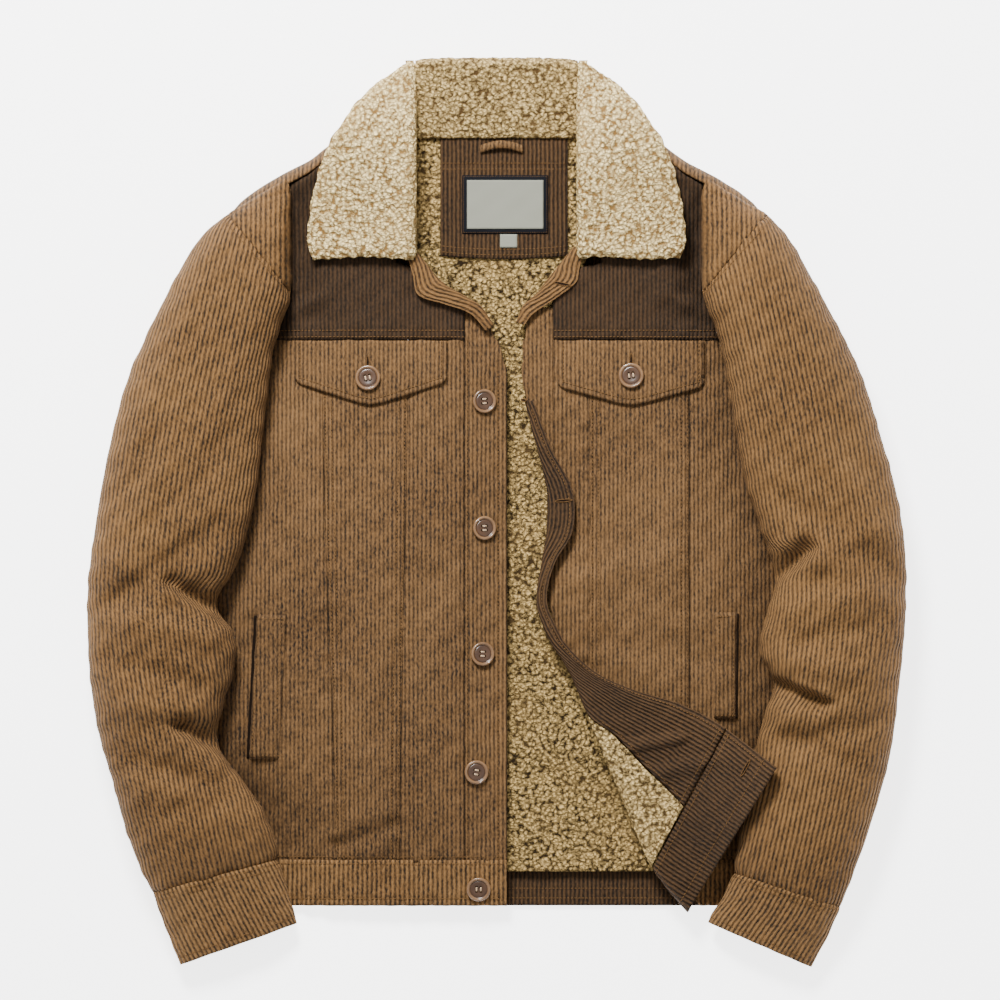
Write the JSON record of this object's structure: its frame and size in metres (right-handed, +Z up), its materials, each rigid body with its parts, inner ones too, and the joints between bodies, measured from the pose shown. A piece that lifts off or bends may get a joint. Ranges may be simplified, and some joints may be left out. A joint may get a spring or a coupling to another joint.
{
  "type": "corduroy jacket",
  "caption": "Waist-length corduroy jacket with a sherpa collar and lining, laid flat with the fronts open, button front, flap and welt pockets, hollow sleeves.",
  "frame": {"origin": "middle of the jacket's box, on the surface it lies on", "axes": "+X across the body to the right as seen from above, +Y towards the collar, +Z up from the surface"},
  "size_m": [0.7121, 0.7923, 0.0722],
  "materials": {
    "corduroy": "mid brown corduroy, brushed wales",
    "facing": "mid brown corduroy, less worn",
    "sherpa": "beige sherpa pile",
    "button": "glossy brown horn-look plastic",
    "label": "woven label, bare"
  },
  "bodies": {
    "root": {"back_panel": "corduroy", "back_waistband": "corduroy", "back_yoke": "corduroy", "back_lining": "sherpa", "neck_facing": "facing", "neck_label": "label", "size_tag": "label", "hanger_loop": "corduroy", "collar_back": "sherpa", "collar_leaf_left": "sherpa", "collar_leaf_right": "sherpa", "front_side_left": "corduroy", "front_mid_left": "corduroy", "front_centre_left": "corduroy", "placket_left": "corduroy", "front_yoke_left": "corduroy", "pocket_flap_left": "corduroy", "pocket_welt_left": "corduroy", "front_shoulder_left": "corduroy", "topsleeve_left": "corduroy", "undersleeve_left": "corduroy", "cuff_left": "corduroy", "front_side_right": "corduroy", "front_mid_right": "corduroy", "front_centre_right": "corduroy", "placket_right": "corduroy", "front_yoke_right": "corduroy", "pocket_flap_right": "corduroy", "pocket_welt_right": "corduroy", "front_shoulder_right": "corduroy", "topsleeve_right": "corduroy", "undersleeve_right": "corduroy", "cuff_right": "corduroy", "waistband_left": "corduroy", "waistband_right": "corduroy", "facing_right": "facing", "lining_right": "sherpa", "turn_waistband_right": "facing", "turn_under_right": "corduroy", "facing_neck_left": "facing", "facing_neck_right": "facing", "button_1": "button", "button_2": "button", "button_3": "button", "button_4": "button", "button_5": "button", "flap_button_left": "button", "flap_button_right": "button"}
  },
  "joints": []
}
